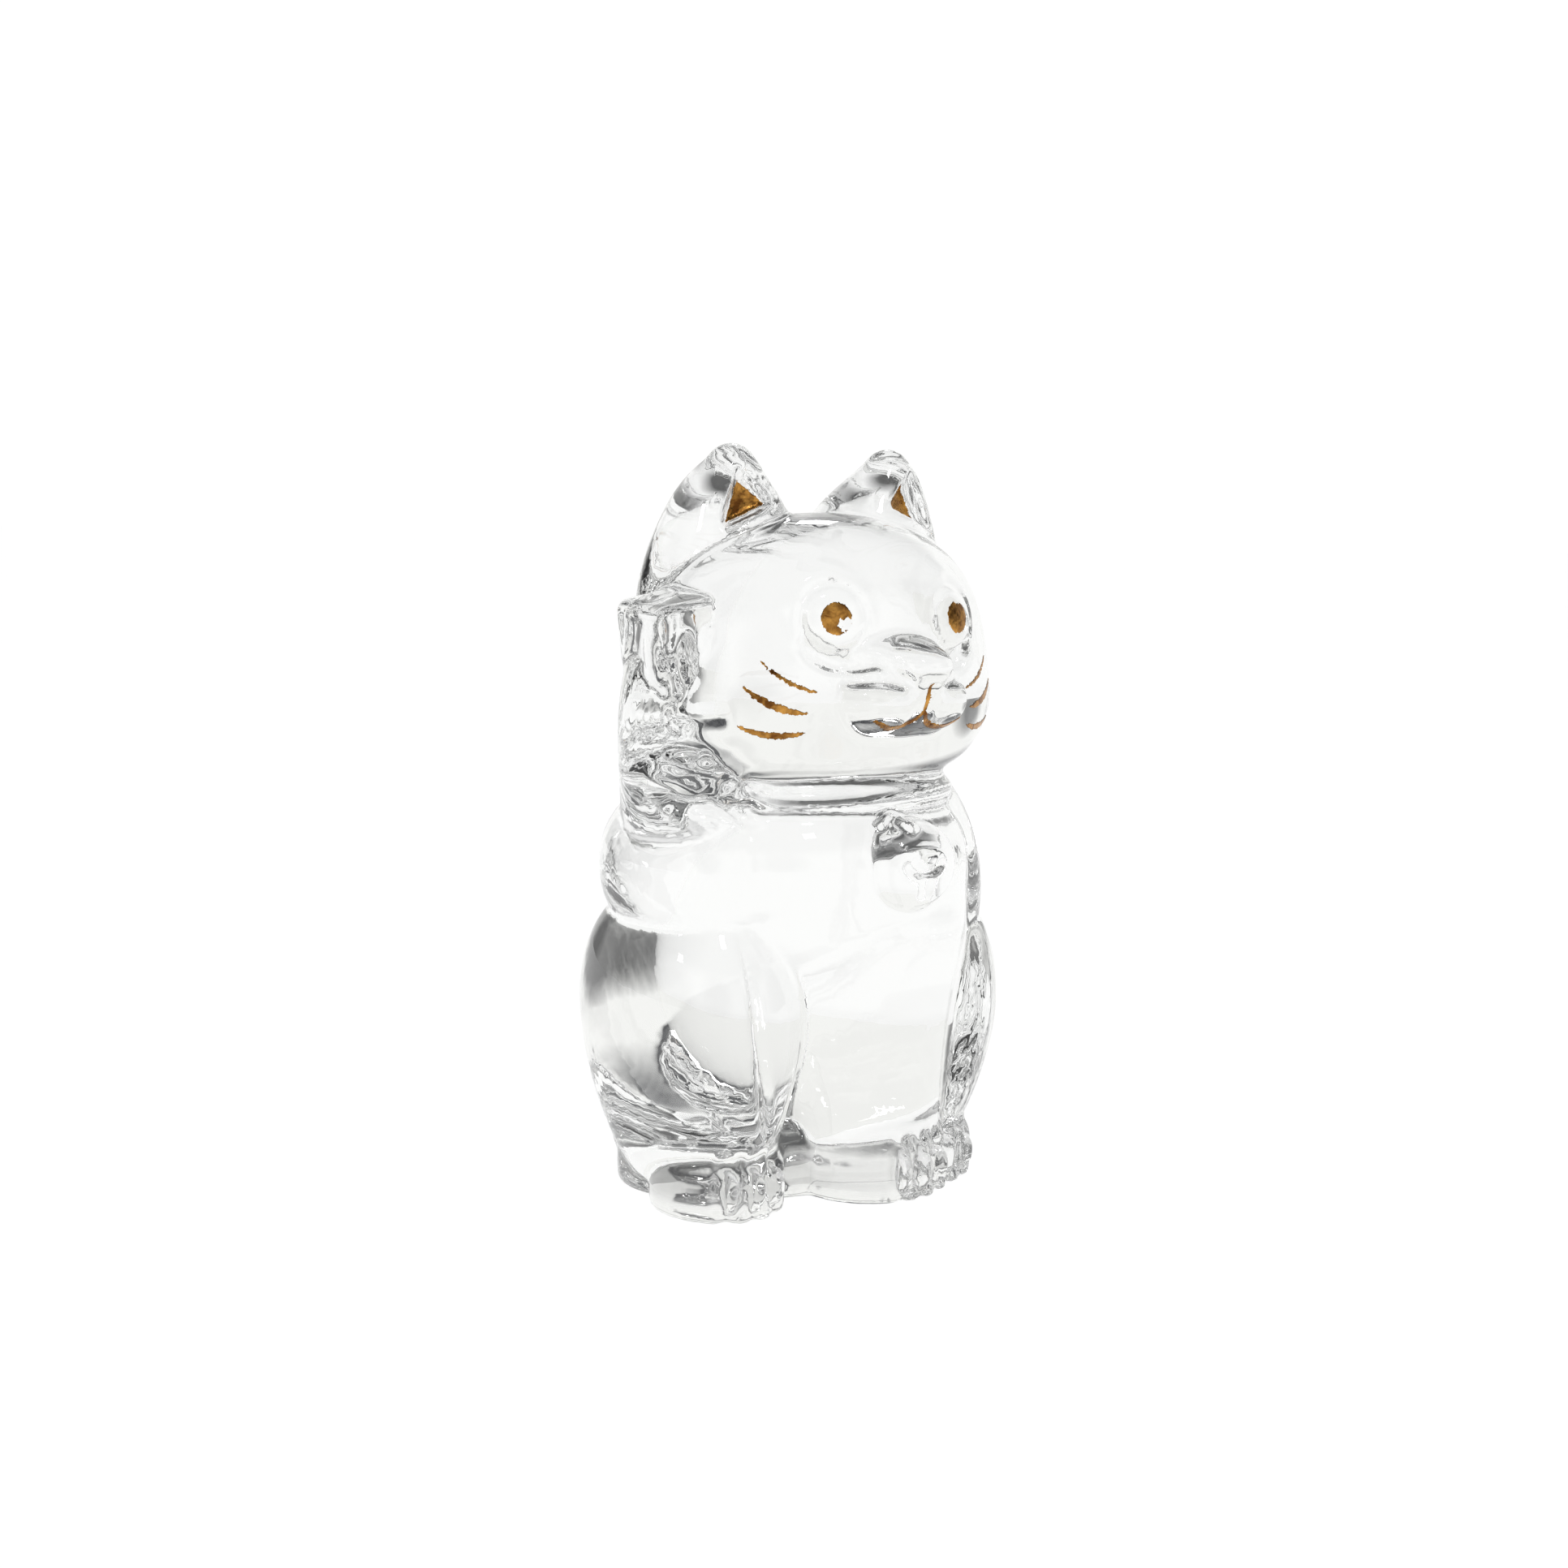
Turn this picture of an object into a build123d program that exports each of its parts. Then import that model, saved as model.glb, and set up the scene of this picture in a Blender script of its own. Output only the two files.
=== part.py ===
"""Solid crystal beckoning cat, 100 mm tall, with fired bright-gold decoration.

The cat looks along -Y and raises its right paw, so the raised paw is on the -X side.
The glass is one pressed casting.  Each gilt mark is a thin film of its own that lies on it.
Everything is shaped about the cat's own middle plane, x = 0, and is moved at the end so
that the origin is at the bottom centre of the whole figure.
"""
import os
from build123d import *

# Driving dimensions, millimetres
HEIGHT = 100.0            # nominal, floor to ear tips
FILM = 0.12               # thickness of a gilt film
POLISH_EDGE = 0.8         # small round where the sides meet the ground base

# Head: half width at each height, from crown to chin, about an upright axis at HEAD_Y
HEAD_PROFILE = ((0, 90.4), (11.5, 88.8), (19.4, 84.6), (23.0, 79.4), (24.6, 74.5),
                (25.4, 69.5), (25.5, 65.4), (24.2, 61.6), (21.4, 58.4), (15, 55.6), (0, 53.6))
HEAD_Y = -5.2
HEAD_FLATNESS = 0.71      # depth of the head over its width

MUZZLE = dict(centre=(0, -20.2, 69.0), radii=(9.2, 8.4, 6.8))
NOSE = dict(centre=(0, -23.6, 71.4), radii=(5.2, 6.8, 3.5))
PUFF = dict(centre=(4.0, -22.0, 67.2), radii=(5.2, 6.4, 4.4))
NECK = dict(centre=(0, -4.5, 53), radii=(19.3, 15.6, 12))
CHEST = dict(centre=(0, -4.6, 45), radii=(22.2, 18.2, 13))
UPPER_ARM = dict(centre=(-16.9, -1.5, 44.6), radii=(11.6, 14.2, 12.2))
LEFT_SHOULDER = dict(centre=(14.6, -3.0, 40), radii=(11.6, 13.8, 18.5))
BACK = dict(centre=(0, 3, 33), radii=(23.5, 18.5, 26))

# Left haunch, floor end first: centre, half width and depth; its top is buried in the shoulder
HAUNCH = (((15.4, -0.8, 3), (7.4, 10.4)), ((16.1, -0.8, 10), (10.3, 14.2)),
          ((16.5, -0.7, 18), (12.2, 16.9)), ((16.6, -0.5, 26), (13.0, 18.0)),
          ((16.8, -0.3, 34), (11.7, 16.0)), ((16.4, -1.2, 41), (7.4, 10.0)))

# Column of the standing left foreleg, floor end first: centre, half width and depth
FORELEG = (((7.2, -9.2, 4), (9.8, 8.6)), ((6.2, -8.8, 14), (11.4, 10.0)),
           ((4.6, -8.2, 24), (14.8, 12.2)), ((2.6, -7.2, 34), (18.4, 14.6)),
           ((0.8, -6.2, 44), (20.8, 16.4)))

HIND_PAW = dict(centre=(15.8, -6.3), radii=(8.6, 9.4), height=9.2, crown=4.0)
FORE_PAW = dict(centre=(7.3, -9.7), radii=(10.8, 9.8), height=9.8, crown=4.2)
SEAT = dict(centre=(0, 5.4), radii=(21.8, 15.6), height=9.0, crown=3.0)
TOE_RADII = (1.5, 1.4, 3.3)
TOE_HEIGHT = 4.3
HIND_TOE_OFFSETS = (-3.6, 0.0, 3.6)
FORE_TOE_OFFSETS = (-1.9, 1.4, 4.6)

# Raised right arm, elbow end first: centre and radii in plan
FOREARM = (((-18.4, -3.4, 47), (9.4, 10.6)), ((-21.0, -4.4, 56), (7.6, 8.4)),
           ((-24.0, -5.2, 65), (5.7, 6.4)), ((-24.3, -5.8, 73), (4.0, 5.0)))
HAND = dict(centre=(-24.2, -6.4, 73.4), size=(9.0, 11.4, 12.4), edge=1.8, nod=6, roll=-12)
# Raised finger pads, each in the hand's own frame: two on the front and one on the outer side
FINGERS = (((-1.1, -5.4, -0.4), (1.35, 1.1, 3.9)), ((2.1, -5.4, -0.1), (1.25, 1.1, 3.8)),
           ((-4.2, -3.2, -0.6), (1.1, 1.7, 4.0)))

# Ear of the left side, from its root inside the head: centre and radius
EAR = (((11.2, -3.0, 70), 7.6), ((12.5, 0.4, 80), 10.4), ((11.8, -0.3, 89.4), 8.5),
       ((12.6, -1.6, 94.4), 5.5), ((12.7, -2.7, 96.8), 3.5))
EAR_TIP = ((12.7, -2.7, 95.7), 3.4)
# Corners of the gilt patch in the ear: tip, inner and outer lower corner
EAR_PATCH = ((13.2, -4.4, 94.4), (9.8, -6.4, 91.2), (15.7, -5.2, 88.4))
EAR_POCKET_FLARE = 2.1
EAR_POCKET_DEPTH = 5.0
EAR_FILM_INSET = 0.97

EYE = dict(centre=(9.4, -20.9, 77.2), ball=11.0, stand=1.1, disc=2.05)
EYE_NORMAL = Vector(0.28, -0.95, 0.14).normalized()

MOUTH_STEM = ((0, 69.6), (0, 65.5))
MOUTH_CURVE = ((0, 65.7), (1.6, 64.3), (3.9, 63.8), (6.4, 64.9))
MOUTH_WIDTH = 0.55
MOUTH_REACH = 40.0        # how far forward of the axis the strokes are projected

WHISKER_LENGTH = 8.6
WHISKER_WIDTH = 1.0
WHISKER_BOW = -0.7
CHEEK_WIDTH = 25.4
# Middle of each left whisker on the cheek: x, z and slope of its outer end in degrees
WHISKERS = {"upper": (15.2, 70.8, 26), "middle": (16.6, 66.8, 18), "lower": (16.8, 63.0, 6)}

COLLAR = dict(centre=(0, -4.5, 54.2), radii=(18.6, 15.1), wire=1.4)
BELL = dict(centre=(2.9, -21.4, 45.7), radii=(6.8, 4.6, 6.0))
TAIL = dict(path=((7, 16.4, 8.0), (-4, 18.2, 7.2), (-15, 11.6, 6.0)), radius=5.0)


def ellipsoid(centre, radii):
    return Pos(*centre) * scale(Sphere(1), by=radii)


def mirrored(shape):
    return mirror(shape, about=Plane.YZ)


def both_sides(shape):
    return [shape, mirrored(shape)]


def column(stations):
    """A smooth column through ellipses that are given by centre and half sizes."""
    return loft([Pos(*centre) * Ellipse(*radii) for centre, radii in stations])


def puck(centre, radii, height, crown):
    """A pad with an upright side, a rounded crown and a small polished edge below."""
    pad = extrude(Pos(*centre) * Ellipse(*radii), height)
    pad = fillet(pad.edges().group_by(Axis.Z)[-1], crown)
    return fillet(pad.edges().group_by(Axis.Z)[0], POLISH_EDGE)


def paw_toes(paw, offsets):
    """Three upright oval toes across the front of a paw."""
    x, y = paw["centre"]
    width, depth = paw["radii"]
    toes = []
    for offset in offsets:
        front = y - depth * (1 - (offset / width) ** 2) ** 0.5
        toes.append(ellipsoid((x + offset, front + 0.35, TOE_HEIGHT), TOE_RADII))
    return toes


def skull(growth=0.0):
    """The round head without its features, turned and then flattened from front to back."""
    points = [(0, 0, HEAD_PROFILE[0][1] + growth)]
    points += [(x + growth, 0, z) for x, z in HEAD_PROFILE[1:-1]]
    points += [(0, 0, HEAD_PROFILE[-1][1] - growth)]
    outline = Spline(points, tangents=[(1, 0, 0), (-1, 0, 0)])
    axis = Line(points[-1], points[0])
    turned = revolve(make_face([outline, axis]), Axis.Z)
    return Pos(0, HEAD_Y, 0) * scale(turned, by=(1, HEAD_FLATNESS, 1))


def ear_solid():
    cone = loft([Pos(*centre) * Circle(radius) for centre, radius in EAR])
    centre, radius = EAR_TIP
    return cone + Pos(*centre) * Sphere(radius)


def ear_pocket():
    """The three-sided hollow in the front of an ear, flaring out from the gilt patch."""
    corners = [Vector(*corner) for corner in EAR_PATCH]
    middle = (corners[0] + corners[1] + corners[2]) / 3
    outward = (corners[1] - corners[0]).cross(corners[2] - corners[0]).normalized()
    if outward.Y > 0:
        outward = -outward
    mouth = [middle + (c - middle) * EAR_POCKET_FLARE + outward * EAR_POCKET_DEPTH for c in corners]
    floor_face = Face(Wire.make_polygon(corners))
    mouth_face = Face(Wire.make_polygon(mouth))
    return loft([floor_face, mouth_face], ruled=True)


def head():
    parts = [skull(), ellipsoid(**MUZZLE), ellipsoid(**NOSE)]
    parts += both_sides(ellipsoid(**PUFF))
    return parts + both_sides(eye_ball())


def eye_ball(growth=0.0):
    """A large shallow ball whose cap is the raised ring round the eye."""
    centre = Vector(*EYE["centre"]) - EYE_NORMAL * (EYE["ball"] - EYE["stand"])
    return Pos(*centre) * Sphere(EYE["ball"] + growth)


def torso():
    parts = [ellipsoid(**CHEST), ellipsoid(**BACK), ellipsoid(**NECK), column(FORELEG)]
    parts += [ellipsoid(**UPPER_ARM), ellipsoid(**LEFT_SHOULDER)]
    return parts + both_sides(column(HAUNCH))


def raised_arm():
    hand = fillet(Box(*HAND["size"]).edges(), HAND["edge"])
    place = Pos(*HAND["centre"]) * Rot(HAND["nod"], HAND["roll"], 0)
    fingers = [place * ellipsoid(centre, radii) for centre, radii in FINGERS]
    return [column(FOREARM), place * hand] + fingers


def feet():
    parts = both_sides(puck(**HIND_PAW)) + [puck(**FORE_PAW), puck(**SEAT)]
    for toe in paw_toes(HIND_PAW, HIND_TOE_OFFSETS):
        parts += both_sides(toe)
    return parts + paw_toes(FORE_PAW, FORE_TOE_OFFSETS)


def tail():
    """The tail lies round the right haunch, with round ends."""
    path, radius = ThreePointArc(*TAIL["path"]), TAIL["radius"]
    section = Plane(origin=path @ 0, z_dir=path % 0) * Circle(radius)
    return [sweep(section, path=path), Pos(path @ 0) * Sphere(radius), Pos(path @ 1) * Sphere(radius)]


def collar():
    x_radius, y_radius = COLLAR["radii"]
    ring = Torus(1, COLLAR["wire"] / x_radius)
    return Pos(*COLLAR["centre"]) * scale(ring, by=(x_radius, y_radius, x_radius))


def united(parts):
    whole = parts[0]
    for piece in parts[1:]:
        whole = whole + piece
    return whole


def glass_body():
    parts = torso() + head() + both_sides(ear_solid()) + raised_arm() + feet() + tail()
    glass = united(parts + [collar(), ellipsoid(**BELL)])
    for pocket in both_sides(ear_pocket()):
        glass = glass - pocket
    return glass & Pos(0, 0, HEIGHT) * Box(4 * HEIGHT, 4 * HEIGHT, 2 * HEIGHT)


def eye_film():
    """A round film on the ball of the left eye."""
    centre = Vector(*EYE["centre"])
    punch = Plane(origin=centre, z_dir=EYE_NORMAL) * Cylinder(EYE["disc"], 4 * EYE["disc"])
    return (eye_ball(FILM) - eye_ball()) & punch


def ear_film():
    """The three-cornered film on the floor of the left ear's pocket."""
    corners = [Vector(*corner) for corner in EAR_PATCH]
    normal = (corners[1] - corners[0]).cross(corners[2] - corners[0]).normalized()
    if normal.Y > 0:
        normal = -normal
    middle = (corners[0] + corners[1] + corners[2]) / 3
    inset = [middle + (corner - middle) * EAR_FILM_INSET for corner in corners]
    face = Face(Wire.make_polygon(inset))
    return extrude(face, FILM, dir=normal)


def muzzle_skin(growth):
    specs = (MUZZLE, PUFF)
    grown = [ellipsoid(spec["centre"], tuple(r + growth for r in spec["radii"])) for spec in specs]
    return grown + [mirrored(grown[1]), skull(growth)]


def mouth_film(glass):
    """A stem and two curves under the nose, brushed over both cheeks of the muzzle."""
    strokes = Sketch() + trace(Line(*MOUTH_STEM), MOUTH_WIDTH)
    for side in (-1, 1):
        strokes += trace(Spline([(side * x, z) for x, z in MOUTH_CURVE]), MOUTH_WIDTH)
    prism = extrude(Plane.XZ * strokes, MOUTH_REACH)
    film = united([skin & prism for skin in muzzle_skin(FILM)])
    return film - glass


def whisker_film(name, glass):
    """A slender tapered stroke that lies across the left cheek."""
    x, z, droop = WHISKERS[name]
    depth = HEAD_FLATNESS * (CHEEK_WIDTH ** 2 - x ** 2) ** 0.5
    outward = Vector(x * HEAD_FLATNESS ** 2, -depth, 0).normalized()
    half = WHISKER_LENGTH / 2
    upper = ThreePointArc((-half, 0), (0, WHISKER_BOW + WHISKER_WIDTH / 2), (half, 0))
    lower = ThreePointArc((-half, 0), (0, WHISKER_BOW - WHISKER_WIDTH / 2), (half, 0))
    level = Vector(0, 0, 1).cross(outward)
    plane = Plane(origin=(x, HEAD_Y - depth, z), x_dir=level, z_dir=outward)
    stroke = plane * Rot(0, 0, droop) * make_face([upper, lower])
    band = extrude(stroke, WHISKER_LENGTH / 2, both=True)
    return (skull(FILM) & band) - glass


glass = glass_body()
left_eye, left_ear = eye_film(), ear_film() - glass
films = {"gilt_eye_left": left_eye, "gilt_eye_right": mirrored(left_eye),
         "gilt_ear_left": left_ear, "gilt_ear_right": mirrored(left_ear),
         "gilt_mouth": mouth_film(glass)}
for name in WHISKERS:
    left_whisker = whisker_film(name, glass)
    films[f"gilt_whisker_left_{name}"] = left_whisker
    films[f"gilt_whisker_right_{name}"] = mirrored(left_whisker)

# The origin goes to the bottom centre of the whole figure
bounds = glass.bounding_box()
to_origin = Pos(-(bounds.min.X + bounds.max.X) / 2, -(bounds.min.Y + bounds.max.Y) / 2, -bounds.min.Z)
print("moved by", to_origin.position, "size", bounds.size, "volume", glass.volume)

os.makedirs("parts", exist_ok=True)
export_step(to_origin * glass, "parts/crystal_body.step")
for name, film in films.items():
    print(name, film.volume, len(film.solids()))
    export_step(to_origin * film, f"parts/{name}.step")
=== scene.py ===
import math

import bmesh
import bpy
from mathutils import Matrix, Vector, noise
from mathutils.bvhtree import BVHTree
from mathutils.kdtree import KDTree


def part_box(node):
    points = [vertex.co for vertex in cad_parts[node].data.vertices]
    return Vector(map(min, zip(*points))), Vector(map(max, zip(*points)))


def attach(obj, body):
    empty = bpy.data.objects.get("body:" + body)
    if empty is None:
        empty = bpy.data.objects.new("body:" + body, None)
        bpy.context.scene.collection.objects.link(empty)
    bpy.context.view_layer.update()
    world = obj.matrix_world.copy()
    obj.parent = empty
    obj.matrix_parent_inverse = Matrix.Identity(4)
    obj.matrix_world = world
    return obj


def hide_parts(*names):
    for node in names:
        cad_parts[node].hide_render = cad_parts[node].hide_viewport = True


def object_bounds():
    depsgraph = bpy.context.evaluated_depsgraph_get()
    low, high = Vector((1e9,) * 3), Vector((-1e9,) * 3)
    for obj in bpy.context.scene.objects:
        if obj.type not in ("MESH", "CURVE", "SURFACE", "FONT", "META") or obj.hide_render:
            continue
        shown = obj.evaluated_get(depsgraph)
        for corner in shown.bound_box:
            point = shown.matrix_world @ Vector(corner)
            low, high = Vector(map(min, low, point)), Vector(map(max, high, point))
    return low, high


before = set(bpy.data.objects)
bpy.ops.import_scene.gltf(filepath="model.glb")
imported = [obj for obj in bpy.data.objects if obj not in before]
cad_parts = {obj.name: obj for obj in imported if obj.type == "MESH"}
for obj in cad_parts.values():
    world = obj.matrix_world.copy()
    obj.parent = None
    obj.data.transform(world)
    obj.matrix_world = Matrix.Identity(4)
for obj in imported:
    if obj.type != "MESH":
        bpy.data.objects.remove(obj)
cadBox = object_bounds()
mm = 0.001

# The cat's own upright axis: x = 0 midway between the eyes, y = 0 a little ahead of the tail
figure = {"axisToTail": 23.43 * mm}
middleX = (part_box("gilt_eye_left")[1][0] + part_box("gilt_eye_right")[0][0]) / 2
axis = Vector((middleX, cadBox[1][1] - figure["axisToTail"], 0))
print("frame loaded,", len(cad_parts), "nodes, axis at", tuple(round(v, 4) for v in axis))


# Shader helpers

def newMaterial(name):
    material = bpy.data.materials.new(name)
    material.use_nodes = True
    tree = material.node_tree
    tree.nodes.clear()
    output = tree.nodes.new("ShaderNodeOutputMaterial")
    shader = tree.nodes.new("ShaderNodeBsdfPrincipled")
    tree.links.new(shader.outputs["BSDF"], output.inputs["Surface"])
    return material, tree, shader


def remap(tree, value, fromLow, fromHigh, toLow, toHigh):
    ramp = tree.nodes.new("ShaderNodeMapRange")
    ramp.inputs["From Min"].default_value = fromLow
    ramp.inputs["From Max"].default_value = fromHigh
    ramp.inputs["To Min"].default_value = toLow
    ramp.inputs["To Max"].default_value = toHigh
    tree.links.new(value, ramp.inputs["Value"])
    return ramp.outputs["Result"]


def mixColour(tree, factor, first, second):
    mix = tree.nodes.new("ShaderNodeMix")
    mix.data_type = "RGBA"
    for socket, colour in (("A", first), ("B", second)):
        target = [s for s in mix.inputs if s.name == socket and s.type == "RGBA"][0]
        if isinstance(colour, tuple):
            target.default_value = colour
        else:
            tree.links.new(colour, target)
    tree.links.new(factor, [s for s in mix.inputs if s.name == "Factor" and s.type == "VALUE"][0])
    return [s for s in mix.outputs if s.type == "RGBA"][0]


def makeRippleGroup():
    # the fine unevenness of a polished or fired skin, as a height and as the normal it gives
    group = bpy.data.node_groups.new("skinRipple", "ShaderNodeTree")
    for name, kind in (("Vector", "NodeSocketVector"), ("Scale", "NodeSocketFloat"), ("Depth", "NodeSocketFloat")):
        group.interface.new_socket(name, in_out="INPUT", socket_type=kind)
    for name, kind in (("Height", "NodeSocketFloat"), ("Normal", "NodeSocketVector")):
        group.interface.new_socket(name, in_out="OUTPUT", socket_type=kind)
    entry = group.nodes.new("NodeGroupInput")
    result = group.nodes.new("NodeGroupOutput")
    field = group.nodes.new("ShaderNodeTexNoise")
    bump = group.nodes.new("ShaderNodeBump")
    bump.inputs["Strength"].default_value = 1.0
    for start, end in ((entry.outputs["Vector"], field.inputs["Vector"]),
                       (entry.outputs["Scale"], field.inputs["Scale"]),
                       (entry.outputs["Depth"], bump.inputs["Distance"]),
                       (field.outputs["Fac"], bump.inputs["Height"]),
                       (field.outputs["Fac"], result.inputs["Height"]),
                       (bump.outputs["Normal"], result.inputs["Normal"])):
        group.links.new(start, end)
    return group


rippleGroup = makeRippleGroup()


def addRipple(tree, shader, coords, scale, depth):
    ripple = tree.nodes.new("ShaderNodeGroup")
    ripple.node_tree = rippleGroup
    ripple.inputs["Scale"].default_value = scale
    ripple.inputs["Depth"].default_value = depth
    tree.links.new(coords, ripple.inputs["Vector"])
    tree.links.new(ripple.outputs["Normal"], shader.inputs["Normal"])
    return ripple.outputs["Height"]


# Mesh and placing helpers

def towards(bearing, elevation):
    # a direction: bearing in degrees round from the back of the figure, elevation above the table
    turn, rise = math.radians(bearing), math.radians(elevation)
    return Vector((math.sin(turn) * math.cos(rise), math.cos(turn) * math.cos(rise), math.sin(rise)))


def smoothVerts(bm, verts, passes=1):
    for step in range(passes):
        bmesh.ops.smooth_vert(bm, verts=verts, factor=0.5, use_axis_x=True, use_axis_y=True, use_axis_z=True)


def meshObject(name, bm):
    mesh = bpy.data.meshes.new(name)
    bm.to_mesh(mesh)
    bm.free()
    piece = bpy.data.objects.new(name, mesh)
    bpy.context.scene.collection.objects.link(piece)
    return piece


def applyModifiers(piece):
    graph = bpy.context.evaluated_depsgraph_get()
    finished = bpy.data.meshes.new_from_object(piece.evaluated_get(graph))
    piece.modifiers.clear()
    piece.data = finished


def curvePoints(points, steps):
    # an even smooth run through the points
    line = [points[0]] + list(points) + [points[-1]]
    run = []
    for a, b, c, d in zip(line, line[1:], line[2:], line[3:]):
        for i in range(steps):
            t = i / steps
            run.append(0.5 * (2 * b + (c - a) * t + (2 * a - 5 * b + 4 * c - d) * t * t
                              + (3 * b - a - 3 * c + d) * t ** 3))
    return run + [points[-1]]


def fadeIn(t):
    t = min(max(t, 0.0), 1.0)
    return t * t * (3 - 2 * t)


# Glass: the casting is remeshed, its creases are fire-polished round, then it is modelled like wax

crystal = {"ior": 1.56, "tint": (0.925, 0.93, 0.92, 1), "rippleScale": 260.0, "rippleDepth": 0.02 * mm}


def crystalMaterial():
    material, tree, shader = newMaterial("leadCrystal")
    shader.inputs["Base Color"].default_value = crystal["tint"]
    shader.inputs["Roughness"].default_value = 0.0
    shader.inputs["IOR"].default_value = crystal["ior"]
    shader.inputs["Transmission Weight"].default_value = 1.0
    coords = tree.nodes.new("ShaderNodeTexCoord").outputs["Object"]
    addRipple(tree, shader, coords, crystal["rippleScale"], crystal["rippleDepth"])
    return material


glassBody = {"voxel": 0.51 * mm, "smoothSteps": 2, "weld": 0.001 * mm}

# Hollows and ridges pressed into the front: x and z of each point in front view, millimetres.
# Depth is negative for a ridge, and the two ends fade out. Face folds are on both sides of the face.
pressing = {"castFrom": 10.0, "steps": 10, "reach": 3.0, "fade": 4.0}
faceFolds = {
    "underEye": {"points": ((13.6, 75.0), (12.2, 73.0), (9.6, 71.7), (7.0, 72.0), (5.2, 73.6)),
                 "width": 1.1, "depth": 1.35},
    "cheekBag": {"points": ((14.4, 74.0), (12.6, 71.0), (8.6, 69.9)), "width": 1.1, "depth": -0.3},
    "snoutSide": {"points": ((7.4, 73.0), (6.0, 72.2), (4.6, 70.8), (2.2, 69.2)), "width": 0.8, "depth": 0.85},
    "snoutFold": {"points": ((10.4, 69.4), (7.4, 70.0), (4.4, 69.9), (2.2, 69.2)), "width": 0.7, "depth": 0.75},
    "browArc": {"points": ((13.2, 79.2), (12.4, 81.0), (10.6, 82.1), (8.4, 82.3)), "width": 0.7, "depth": 0.3},
    "mouthCurve": {"points": ((0.0, 65.9), (1.6, 64.4), (3.9, 63.7), (6.8, 64.8)), "width": 0.6, "depth": 0.25},
}
singleFolds = {
    "mouthStem": {"points": ((0.0, 69.8), (0.0, 67.6), (0.0, 65.4)), "width": 0.55, "depth": 0.5},
    "elbowFold": {"points": ((-28.4, 56.2), (-25.6, 54.6), (-22.0, 54.4), (-18.6, 53.6), (-14.4, 51.2)),
                  "width": 1.3, "depth": 2.2},
    "elbowTuft": {"points": ((-27.8, 60.0), (-23.5, 58.4), (-19.0, 57.4), (-14.6, 54.6)),
                  "width": 1.2, "depth": -1.2},
    "haunchCrease": {"points": ((-18.0, 38.5), (-18.0, 25.0), (-14.0, 10.5)), "width": 0.6, "depth": 0.9,
                     "steps": 30},
    "wristFold": {"points": ((-27.4, 65.6), (-24.0, 64.8), (-20.6, 65.4)), "width": 1.1, "depth": 0.7},
    "bellSlot": {"points": ((-0.6, 46.6), (2.4, 45.2), (5.8, 46.8)), "width": 0.55, "depth": 0.8},
    "bellLip": {"points": ((-1.8, 47.6), (2.2, 48.4), (6.4, 47.6)), "width": 0.5, "depth": -0.35},
    "bellLoop": {"points": ((-1.7, 50.2), (0.2, 51.9), (2.1, 50.2)), "width": 0.7, "depth": -1.0},
    "bellDrop": {"points": ((2.6, 44.6), (2.8, 43.0), (2.9, 41.6)), "width": 0.5, "depth": 0.6},
}


def onFront(surface, x, z):
    start = Vector((axis.x + x * mm, cadBox[0][1] - pressing["castFrom"] * mm, z * mm))
    return surface.ray_cast(start, Vector((0, 1, 0)))[0]


def pressFold(bm, surface, points, width, depth, side=1, steps=pressing["steps"]):
    run = curvePoints([Vector(point) for point in points], steps)
    route = [onFront(surface, side * point.x, point.y) for point in run]
    route = [place for place in route if place]
    tree = KDTree(len(route))
    for i, place in enumerate(route):
        tree.insert(place, i)
    tree.balance()
    moves = []
    for vert in bm.verts:
        place, index, distance = tree.find(vert.co)
        if distance > pressing["reach"] * width * mm:
            continue
        along = index / (len(route) - 1)
        ends = fadeIn(along * pressing["fade"]) * fadeIn((1 - along) * pressing["fade"])
        fall = math.exp(-(distance / (width * mm)) ** 2) * ends
        moves.append((vert, vert.normal * (-depth * mm * fall)))
    for vert, move in moves:
        vert.co += move


# Groove round the dome of each eye
eyeRing = {"centre": (9.4, -20.9, 77.2), "facing": (0.28, -0.95, 0.14), "radius": 4.5, "width": 0.5, "depth": 0.5,
           "reach": 8.0}


def pressRing(bm, side):
    centre = Vector((side * eyeRing["centre"][0], *eyeRing["centre"][1:])) * mm + axis
    facing = Vector((side * eyeRing["facing"][0], *eyeRing["facing"][1:])).normalized()
    for vert in bm.verts:
        offset = vert.co - centre
        if offset.length > eyeRing["reach"] * mm:
            continue
        spread = (offset - facing * offset.dot(facing)).length / mm - eyeRing["radius"]
        vert.co -= vert.normal * (eyeRing["depth"] * mm * math.exp(-(spread / eyeRing["width"]) ** 2))
    bm.normal_update()


# Grooves round the toes: middle of each toe (x, y), its half width and half height
toes = {"middles": ((12.2, -15.0), (15.8, -15.7), (19.4, -15.0), (-12.2, -15.0), (-15.8, -15.7), (-19.4, -15.0),
                    (5.4, -19.4), (8.7, -19.4), (11.9, -18.6)),
        "height": 4.3, "half": (1.55, 3.4), "width": 0.38, "depth": 0.95, "reach": 3.0,
        "below": 9.0, "ahead": -8.0}


def pressToes(bm):
    front = [vert for vert in bm.verts if vert.co.z < toes["below"] * mm and vert.co.y < toes["ahead"] * mm]
    for x, y in toes["middles"]:
        for vert in front:
            offset = (vert.co - axis) / mm - Vector((x, y, toes["height"]))
            if max(abs(offset.x), abs(offset.y)) > toes["reach"]:
                continue
            oval = math.hypot(offset.x / toes["half"][0], offset.z / toes["half"][1])
            away = (oval - 1) * toes["half"][0]
            vert.co -= vert.normal * (toes["depth"] * mm * math.exp(-(away / toes["width"]) ** 2))
    bm.normal_update()


# The corner under the muzzle is eased: reach across, ahead of the axis, and from z to z
chin = {"across": 12.0, "ahead": 14.0, "from": 60.0, "to": 64.2, "passes": 6}


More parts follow.
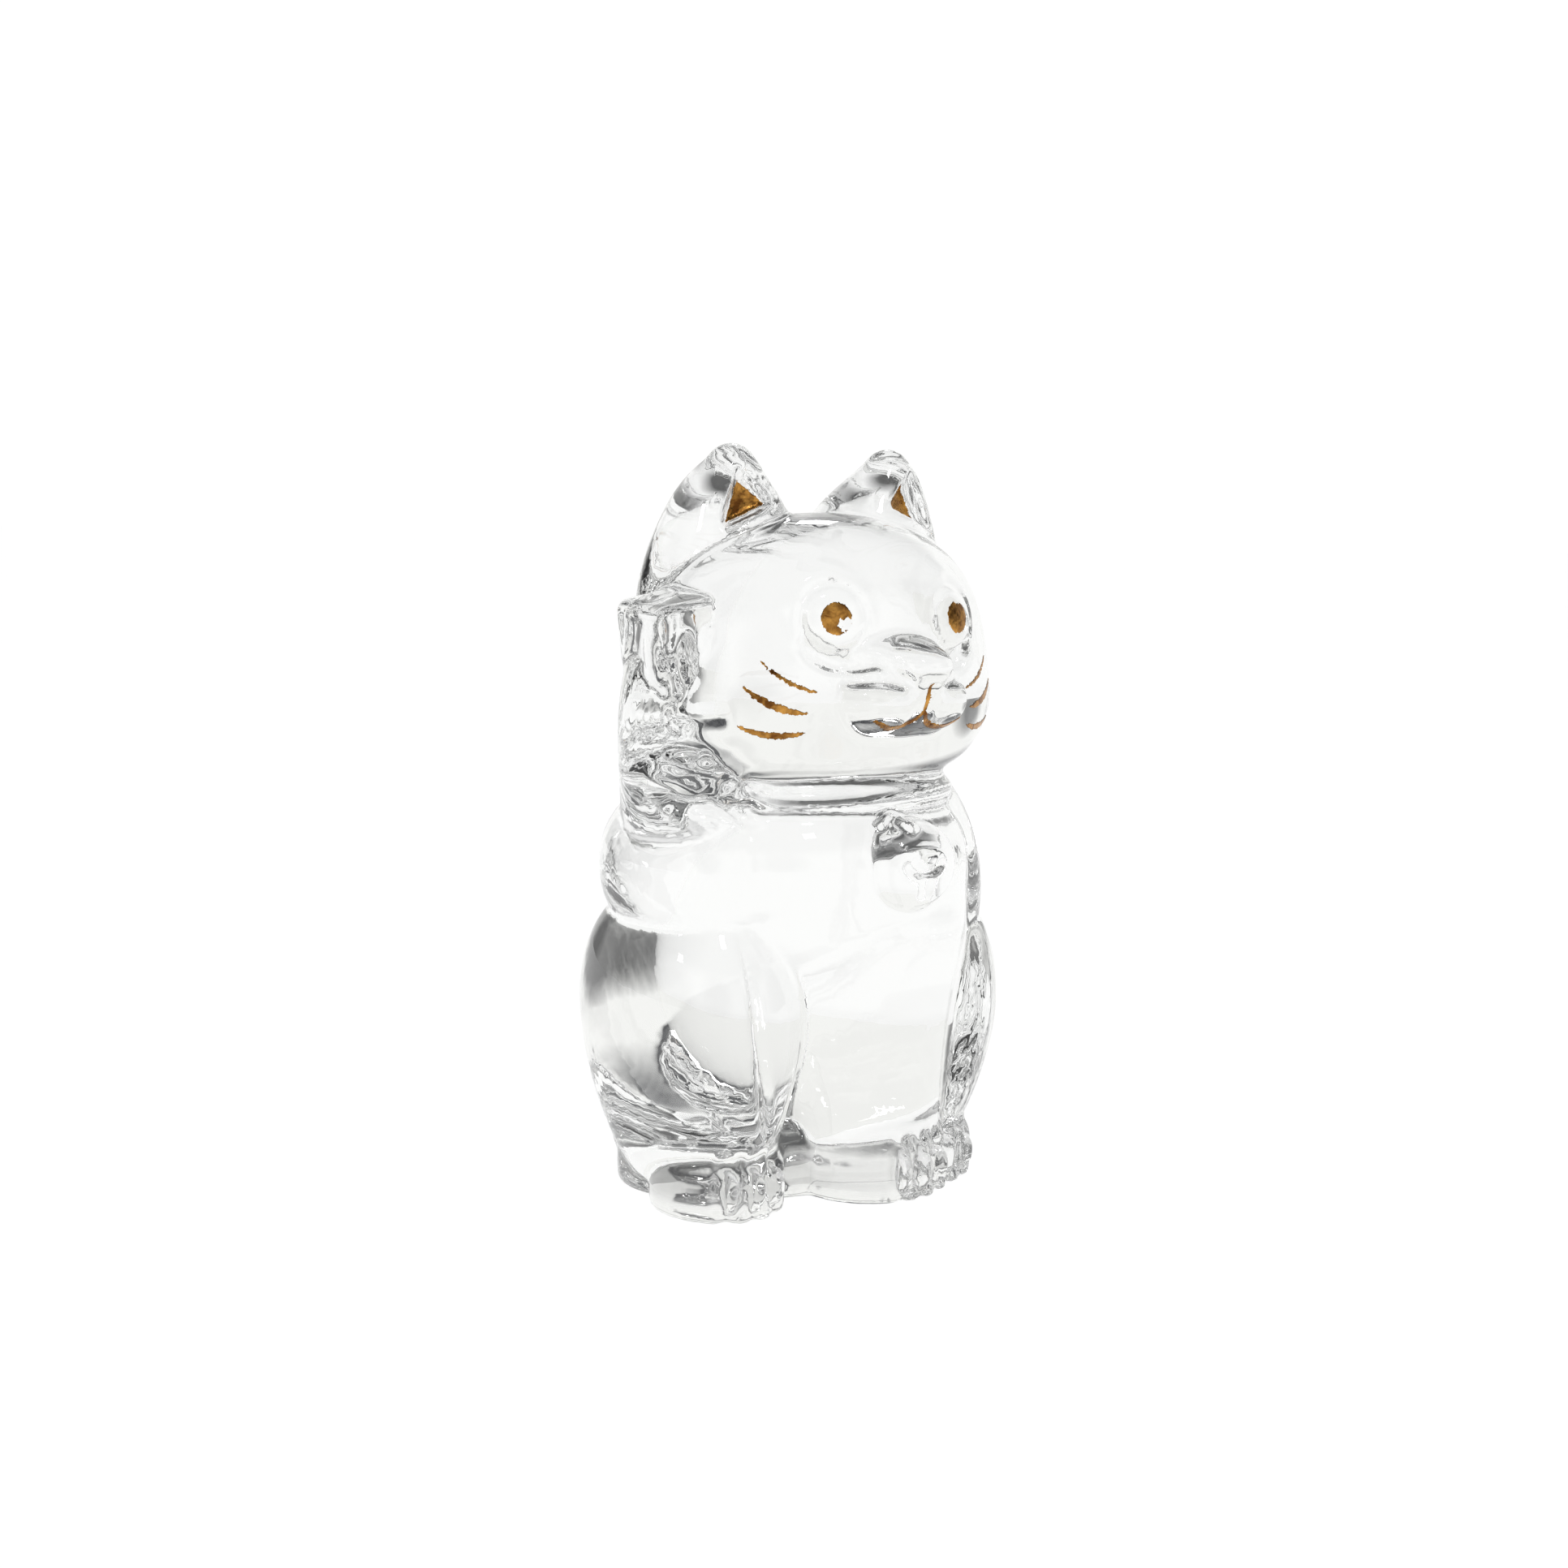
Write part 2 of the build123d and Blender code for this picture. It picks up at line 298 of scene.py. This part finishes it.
def polishChin(bm):
    under = [vert for vert in bm.verts
             if abs(vert.co.x - axis.x) < chin["across"] * mm and vert.co.y < axis.y - chin["ahead"] * mm
             and chin["from"] * mm < vert.co.z < chin["to"] * mm]
    smoothVerts(bm, under, chin["passes"])
    bm.normal_update()


# A stretch of the raised arm where the mould left rippled fur: centre, reach, length and height of the waves
furPatch = {"centre": (-20.5, -10.5, 56.5), "reach": (10.0, 9.0, 8.0), "wave": 2.6, "height": 0.9}


def rippleFur(bm):
    centre = Vector(furPatch["centre"]) * mm + axis
    for vert in bm.verts:
        offset = vert.co - centre
        scaled = Vector([offset[i] / (furPatch["reach"][i] * mm) for i in range(3)])
        fall = fadeIn(1.4 * (1 - scaled.length))
        if fall > 0:
            sway = noise.noise(vert.co / (furPatch["wave"] * mm))
            vert.co += vert.normal * (sway * fall * furPatch["height"] * mm)


# Slow waves left all over by pressing and fire polishing
pressWave = {"length": 15.0, "height": 0.10, "above": 2.0, "start": (3.1, 7.7, 1.3)}


def waveSkin(bm):
    for vert in bm.verts:
        if vert.co.z > pressWave["above"] * mm:
            sway = noise.noise(vert.co / (pressWave["length"] * mm) + Vector(pressWave["start"]))
            vert.co += vert.normal * (sway * pressWave["height"] * mm)


def makeGlassBody():
    bm = bmesh.new()
    bm.from_mesh(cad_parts["crystal_body"].data)
    bmesh.ops.remove_doubles(bm, verts=bm.verts, dist=glassBody["weld"])
    body = meshObject("glassBody", bm)
    body.data.materials.clear()
    remesh = body.modifiers.new("cast", "REMESH")
    remesh.mode = "VOXEL"
    remesh.voxel_size = glassBody["voxel"]
    remesh.use_smooth_shade = True
    polish = body.modifiers.new("firePolish", "SMOOTH")
    polish.factor = 0.5
    polish.iterations = glassBody["smoothSteps"]
    applyModifiers(body)
    bm = bmesh.new()
    bm.from_mesh(body.data)
    surface = BVHTree.FromBMesh(bm)
    for fold in faceFolds.values():
        for side in (-1, 1):
            pressFold(bm, surface, side=side, **fold)
            bm.normal_update()
    for fold in singleFolds.values():
        pressFold(bm, surface, **fold)
        bm.normal_update()
    for side in (-1, 1):
        pressRing(bm, side)
    pressToes(bm)
    polishChin(bm)
    rippleFur(bm)
    bm.normal_update()
    waveSkin(bm)
    smoothVerts(bm, bm.verts)
    for vert in bm.verts:
        vert.co.z = max(vert.co.z, cadBox[0][2])  # nothing goes below the table
    bm.to_mesh(body.data)
    bm.free()
    body.data.polygons.foreach_set("use_smooth", [True] * len(body.data.polygons))
    body.data.materials.append(crystalMaterial())
    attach(body, "root")
    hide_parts("crystal_body")
    print("glass body,", len(body.data.polygons), "faces")
    return body


body = makeGlassBody()
skin = BVHTree.FromObject(body, bpy.context.evaluated_depsgraph_get())


# Gilding: brushed films that follow the glass, ragged and chipped at their edges

gilding = {"thickness": 0.05, "lift": 0.015, "cell": 0.11, "reach": 12.0,
           "bright": (0.62, 0.31, 0.07, 1), "deep": (0.17, 0.065, 0.015, 1), "patchScale": 620.0,
           "roughness": (0.16, 0.42), "grainScale": 2400.0, "grainDepth": 0.02 * mm}


def giltMaterial():
    material, tree, shader = newMaterial("firedGold")
    coords = tree.nodes.new("ShaderNodeTexCoord").outputs["Object"]
    cloud = tree.nodes.new("ShaderNodeTexNoise")
    cloud.inputs["Scale"].default_value = gilding["patchScale"]
    cloud.inputs["Detail"].default_value = 3.0
    cloud.inputs["Distortion"].default_value = 0.6
    tree.links.new(coords, cloud.inputs["Vector"])
    patches = remap(tree, cloud.outputs["Fac"], 0.35, 0.65, 0.0, 1.0)
    shader.inputs["Metallic"].default_value = 1.0
    tree.links.new(mixColour(tree, patches, gilding["deep"], gilding["bright"]), shader.inputs["Base Color"])
    grain = addRipple(tree, shader, coords, gilding["grainScale"], gilding["grainDepth"])
    tree.links.new(remap(tree, grain, 0.3, 0.7, *gilding["roughness"]), shader.inputs["Roughness"])
    return material


gilt = giltMaterial()


def gild(name, node, centre, outward, across, size, covered):
    # a fine patch of cells is laid on the glass, and kept where covered(u, v) says so
    outward = outward.normalized()
    across = (across - outward * across.dot(outward)).normalized()
    upward = outward.cross(across)
    cell = gilding["cell"]
    bm = bmesh.new()
    bmesh.ops.create_grid(bm, x_segments=int(size[0] / cell), y_segments=int(size[1] / cell), size=0.5)
    middles = {face: face.calc_center_median() for face in bm.faces}
    stray = [face for face, at in middles.items() if not covered(at.x * size[0], at.y * size[1])]
    bmesh.ops.delete(bm, geom=stray, context="FACES")
    for vert in bm.verts:
        flat = centre + across * (vert.co.x * size[0] * mm) + upward * (vert.co.y * size[1] * mm)
        place, normal = skin.ray_cast(flat + outward * gilding["reach"] * mm, -outward)[:2]
        vert.co = place + normal * (gilding["lift"] * mm) if place else flat
    smoothVerts(bm, [vert for vert in bm.verts if vert.is_boundary])
    bmesh.ops.recalc_face_normals(bm, faces=bm.faces)
    if sum(face.normal.dot(outward) for face in bm.faces) < 0:
        bmesh.ops.reverse_faces(bm, faces=bm.faces)
    bmesh.ops.solidify(bm, geom=bm.faces, thickness=-gilding["thickness"] * mm)
    bmesh.ops.recalc_face_normals(bm, faces=bm.faces)
    film = meshObject(name, bm)
    film.data.polygons.foreach_set("use_smooth", [True] * len(film.data.polygons))
    film.data.materials.append(gilt)
    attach(film, "root")
    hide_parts(node)
    print("gilt", name, len(film.data.polygons), "faces")
    return film


def ragged(u, v, seed, grain=0.35):
    # how far a brushed edge strays at a place on the patch, in two sizes of tooth
    return noise.noise(Vector((u / grain, v / grain, seed))) + 0.5 * noise.noise(
        Vector((2.3 * u / grain, 2.3 * v / grain, seed + 9)))


def nodeMiddle(node):
    low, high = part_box(node)
    return (Vector(low) + Vector(high)) / 2


# Eyes: round discs on the low domes, each with a flaked place (across, up, radius)
eyes = {"radius": 2.05, "facing": (0.28, -0.95, 0.14), "patch": (4.6, 4.6),
        "flaked": {"right": (1.15, -0.75, 0.85), "left": (0.2, 2.3, 0.6)}}


def makeEye(side, sign):
    flake = Vector(eyes["flaked"][side][:2])
    flakeRadius = eyes["flaked"][side][2]
    seed = 3.0 + sign

    def covered(u, v):
        edge = 0.10 * ragged(u, v, seed)
        worn = (Vector((u, v)) - flake).length + 0.5 * ragged(u, v, seed + 2, 0.6) < flakeRadius
        return math.hypot(u, v) + edge < eyes["radius"] and not worn

    outward = Vector((sign * eyes["facing"][0], eyes["facing"][1], eyes["facing"][2]))
    gild("eyeGilt" + side.title(), "gilt_eye_" + side, nodeMiddle("gilt_eye_" + side), outward,
         Vector((1, 0, 0)), eyes["patch"], covered)


# Ear linings: three-cornered patches, corners as in the casting, tip first
ears = {"corners": ((13.2, -4.4, 94.4), (9.8, -6.4, 91.2), (15.7, -5.2, 88.4)), "margin": 0.12,
        "patch": (10.0, 10.0)}


def makeEarLining(side, sign):
    corners = [Vector((sign * x, y, z)) * mm + axis for x, y, z in ears["corners"]]
    centre = sum(corners, Vector()) / 3
    outward = (corners[1] - corners[0]).cross(corners[2] - corners[0]).normalized()
    if outward.y > 0:
        outward.negate()
    across = Vector((1, 0, 0))
    across = (across - outward * across.dot(outward)).normalized()
    upward = outward.cross(across)
    flat = [Vector(((c - centre).dot(across) / mm, (c - centre).dot(upward) / mm)) for c in corners]

    def covered(u, v):
        point = Vector((u, v))
        inside = []
        for a, b, c in ((0, 1, 2), (1, 2, 0), (2, 0, 1)):
            edge = (flat[b] - flat[a]).orthogonal().normalized()
            if edge.dot(flat[c] - flat[a]) < 0:
                edge.negate()
            inside.append(edge.dot(point - flat[a]))
        return min(inside) + 0.12 * ragged(u, v, 7.0 + sign, 0.8) > ears["margin"]

    gild("earGilt" + side.title(), "gilt_ear_" + side, centre, outward, across,
         ears["patch"], covered)


# Mouth, brushed from the front: points (x, z) of each stroke, half width in the middle and at the ends
mouth = {"strokes": (((0.0, 69.4), (0.05, 67.6), (0.0, 65.7)),
                     ((0.0, 66.1), (1.3, 64.6), (3.9, 63.8), (6.7, 64.9)),
                     ((0.0, 66.1), (-1.3, 64.6), (-3.9, 63.8), (-6.7, 64.9))),
         "half": 0.34, "tip": 0.12, "level": 66.5, "inset": 3.0, "patch": (15.0, 8.0), "rough": 0.13}


def strokeDistance(run, point):
    best, place = 1e9, 0.0
    for i, (a, b) in enumerate(zip(run, run[1:])):
        t = min(max((point - a).dot(b - a) / (b - a).length_squared, 0.0), 1.0)
        distance = (a + (b - a) * t - point).length
        if distance < best:
            best, place = distance, (i + t) / (len(run) - 1)
    return best, place


def makeMouth():
    centre = Vector((axis.x, cadBox[0][1] + mouth["inset"] * mm, mouth["level"] * mm))
    runs = [curvePoints([Vector((x, z - mouth["level"])) for x, z in stroke], 5) for stroke in mouth["strokes"]]

    def covered(u, v):
        for run in runs:
            distance, along = strokeDistance(run, Vector((u, v)))
            half = mouth["tip"] + (mouth["half"] - mouth["tip"]) * math.sin(math.pi * (0.12 + 0.8 * along))
            if distance + mouth["rough"] * ragged(u, v, 21.0) < half:
                return True
        return False

    gild("mouthGilt", "gilt_mouth", centre, Vector((0, -1, 0)), Vector((1, 0, 0)), mouth["patch"], covered)


# Whiskers: place on the cheek (x, z), slope of the outer end, length, half width and wear
whiskers = {"upper": {"middle": (15.2, 69.9), "slope": 28, "half": 0.30, "wear": 0.62},
            "middle": {"middle": (16.8, 66.9), "slope": 22, "half": 0.50, "wear": 0.25},
            "lower": {"middle": (16.8, 63.2), "slope": 5, "half": 0.46, "wear": 0.22},
            "length": 8.8, "bow": 0.75, "patch": (9.2, 3.4)}


def makeWhisker(side, sign, row):
    spec = whiskers[row]
    half = whiskers["length"] / 2
    place = onFront(skin, sign * spec["middle"][0], spec["middle"][1])
    normal = skin.find_nearest(place)[1]
    level = Vector((0, 0, 1)).cross(normal).normalized() * sign
    upward = normal.cross(level) * sign
    slope = math.radians(spec["slope"])
    across = level * math.cos(slope) + upward * math.sin(slope)
    seed = 40 + 3 * len(row) + sign

    def covered(u, v):
        t = u / half
        if abs(t) >= 1:
            return False
        line = -whiskers["bow"] * (1 - t * t) + 0.5 * whiskers["bow"]
        thick = spec["half"] * (1 - t * t) ** 0.6
        chipped = ragged(u, v, seed + 5, 1.1) > 1.25 - spec["wear"] - 0.35 * abs(t)
        return abs(v * sign - line) + 0.16 * ragged(u, v, seed, 0.5) < thick and not chipped

    gild("whisker" + side.title() + row.title(), f"gilt_whisker_{side}_{row}", place, normal,
         across, whiskers["patch"], covered)


for side, sign in (("left", 1), ("right", -1)):
    makeEye(side, sign)
    makeEarLining(side, sign)
    for row in ("upper", "middle", "lower"):
        makeWhisker(side, sign, row)
makeMouth()


# Stage: a seamless pale table, lit from within, with painted shade: its glow is dimmed in a disc right under the
# figure for every ray but the camera's, which sees it evenly white

stage = {"tableSize": 30.0, "tableColour": (0.36, 0.36, 0.36, 1), "glow": 0.93,
         "shadeMiddle": (0.0, 10.0, 0.0), "shadeFrom": 9.0, "shadeTo": 22.0, "shade": 0.93}


def makeTable():
    bm = bmesh.new()
    bmesh.ops.create_grid(bm, x_segments=1, y_segments=1, size=stage["tableSize"] / 2)
    table = meshObject("table", bm)
    material, tree, shader = newMaterial("lightTable")
    shader.inputs["Base Color"].default_value = stage["tableColour"]
    shader.inputs["Roughness"].default_value = 1.0
    shader.inputs["Specular IOR Level"].default_value = 0.0
    coords = tree.nodes.new("ShaderNodeTexCoord").outputs["Object"]
    away = tree.nodes.new("ShaderNodeVectorMath")
    away.operation = "DISTANCE"
    away.inputs[1].default_value = Vector(stage["shadeMiddle"]) * mm
    tree.links.new(coords, away.inputs[0])
    # painted shade: the glow is darkened by this much inside shadeFrom of the middle, fading out by shadeTo,
    # standing in for the shade the figure casts on the table
    shade = remap(tree, away.outputs["Value"], stage["shadeFrom"] * mm, stage["shadeTo"] * mm, stage["shade"], 0.0)
    seen = tree.nodes.new("ShaderNodeLightPath").outputs["Is Camera Ray"]
    lit = mixColour(tree, shade, (1, 1, 1, 1), (0.0, 0.0, 0.0, 1))
    tree.links.new(mixColour(tree, seen, lit, (1, 1, 1, 1)), shader.inputs["Emission Color"])
    shader.inputs["Emission Strength"].default_value = stage["glow"]
    table.data.materials.append(material)


# Soft light: a bright tent, greyer overhead, with soft openings (bearing, elevation, half angle, soft edge, dark)
tent = {"white": (0.97, 0.97, 0.955, 1), "ceiling": (0.06, 0.062, 0.068, 1), "ceilingFrom": 0.40, "ceilingTo": 0.55,
        "opening": (0.012, 0.012, 0.015, 1), "backdrop": (1.05, 1.05, 1.04, 1),
        "openings": ((160, 7, 7, 2.5, 0.85), (-8, 5, 9, 4, 0.85), (118, 8, 20, 10, 0.85), (-64, 8, 20, 10, 0.85),
                     (-144, 14, 14, 6, 0.9), (-100, 12, 12, 6, 0.85))}


def makeTent():
    world = bpy.data.worlds.new("lightTent")
    bpy.context.scene.world = world
    world.use_nodes = True
    tree = world.node_tree
    background = tree.nodes["Background"]
    direction = tree.nodes.new("ShaderNodeTexCoord").outputs["Generated"]
    split = tree.nodes.new("ShaderNodeSeparateXYZ")
    tree.links.new(direction, split.inputs[0])
    rise = remap(tree, split.outputs["Z"], tent["ceilingFrom"], tent["ceilingTo"], 0.0, 1.0)
    colour = mixColour(tree, rise, tent["white"], tent["ceiling"])
    for bearing, elevation, half, soft, dark in tent["openings"]:
        facing = tree.nodes.new("ShaderNodeVectorMath")
        facing.operation = "DOT_PRODUCT"
        facing.inputs[1].default_value = towards(bearing, elevation)
        tree.links.new(direction, facing.inputs[0])
        inner, outer = (math.cos(math.radians(angle)) for angle in (half - soft, half + soft))
        shade = remap(tree, facing.outputs["Value"], outer, inner, 0.0, dark)
        colour = mixColour(tree, shade, colour, tent["opening"])
    seen = tree.nodes.new("ShaderNodeLightPath").outputs["Is Camera Ray"]
    tree.links.new(mixColour(tree, seen, colour, tent["backdrop"]), background.inputs["Color"])


# Small soft boxes for the sparkle on the polished skin: bearing, elevation, distance, size and power
softBoxes = {"key": (-165, 52, 0.9, 0.10, 0.75), "side": (-100, 30, 0.8, 0.07, 0.40),
             "back": (40, 40, 0.9, 0.10, 0.5)}


def makeSoftBoxes():
    aim = axis + Vector((0, 0, 50 * mm))
    for name, (bearing, elevation, distance, size, power) in softBoxes.items():
        toward = towards(bearing, elevation)
        data = bpy.data.lights.new(name, "AREA")
        data.size = size
        data.energy = power
        box = bpy.data.objects.new(name, data)
        bpy.context.scene.collection.objects.link(box)
        box.matrix_world = (Matrix.Translation(aim + toward * distance)
                            @ toward.to_track_quat("Z", "Y").to_matrix().to_4x4())


# Camera: level with the forehead and turned towards the cat's right shoulder
camera = {"azimuth": 36.1, "distance": 0.300, "height": 0.0885, "pitch": 6.55, "yaw": -0.23,
          "roll": 1.0, "lens": 51.48, "sensor": 36.0, "sight": (0.01, 40.0)}


def makeCamera():
    data = bpy.data.cameras.new("camera")
    data.lens = camera["lens"]
    data.sensor_width = camera["sensor"]
    data.clip_start, data.clip_end = camera["sight"]
    eye = bpy.data.objects.new("camera", data)
    bpy.context.scene.collection.objects.link(eye)
    bpy.context.scene.camera = eye
    heading = math.radians(camera["azimuth"] + camera["yaw"])
    turn = Matrix.Rotation(-heading, 4, "Z") @ Matrix.Rotation(math.radians(90 - camera["pitch"]), 4, "X")
    turn = turn @ Matrix.Rotation(math.radians(camera["roll"]), 4, "Z")
    back = towards(camera["azimuth"], 0) * camera["distance"]
    eye.matrix_world = Matrix.Translation(axis - back + Vector((0, 0, camera["height"]))) @ turn


makeTable()
makeTent()
makeSoftBoxes()
makeCamera()
scene = bpy.context.scene
scene.view_settings.view_transform = "Standard"
scene.cycles.use_denoising = True
scene.cycles.max_bounces = 24  # light crosses many faces of the crystal
scene.cycles.transmission_bounces = 24
scene.cycles.glossy_bounces = 8
print("stage and camera ready")
